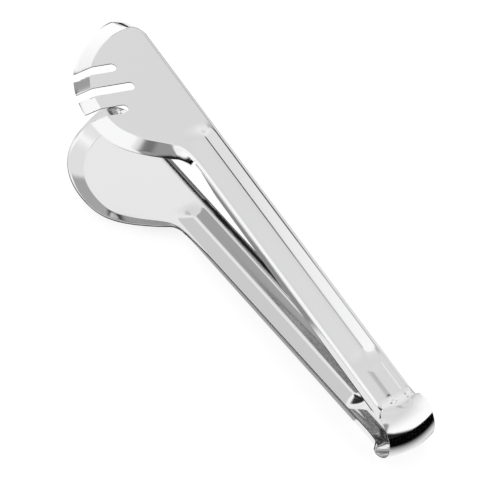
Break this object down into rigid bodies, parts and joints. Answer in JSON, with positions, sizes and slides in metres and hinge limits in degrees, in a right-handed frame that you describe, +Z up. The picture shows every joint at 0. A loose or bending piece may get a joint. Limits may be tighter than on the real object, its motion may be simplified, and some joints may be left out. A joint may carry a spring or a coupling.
{
  "type": "barbecue tongs",
  "caption": "Spring steel barbecue tongs with D-shaped dished jaws on channel arms joined by a crowned bow; the upper jaw is slotted into tines and the lower jaw is plain.",
  "frame": {"origin": "middle of the bounding box in plan, on the plane that the tongs stand on", "axes": "+X along the tongs from the jaws to the bow, +Y from the jaws' round side to their straight side, +Z up"},
  "size_m": [0.3534, 0.0744, 0.1018],
  "materials": {
    "polished_steel": "bright polished stainless steel"
  },
  "bodies": {
    "lower_arm": {"lower_arm": "polished_steel"},
    "bow": {"spring_bow": "polished_steel"},
    "upper_arm": {"upper_arm": "polished_steel"}
  },
  "joints": [
    {"name": "bow_flex", "type": "hinge", "parent": "lower_arm", "child": "bow", "pos_m": [0.16511, 0.02002, 0.00384], "axis": [-0.0006, -0.9994, -0.0342], "range_deg": [-2.5, 7.2], "stiffness_Nm_per_rad": 18, "springref_deg": -0.64},
    {"name": "upper_arm_flex", "type": "hinge", "parent": "bow", "child": "upper_arm", "pos_m": [0.1682, 0.01895, 0.03506], "axis": [-0.0006, -0.9994, -0.0342], "range_deg": [-2.5, 7.2], "stiffness_Nm_per_rad": 18, "springref_deg": -0.65}
  ],
  "couplings": [
    {"joint": "upper_arm_flex", "follows": "bow_flex", "ratio": 1}
  ]
}
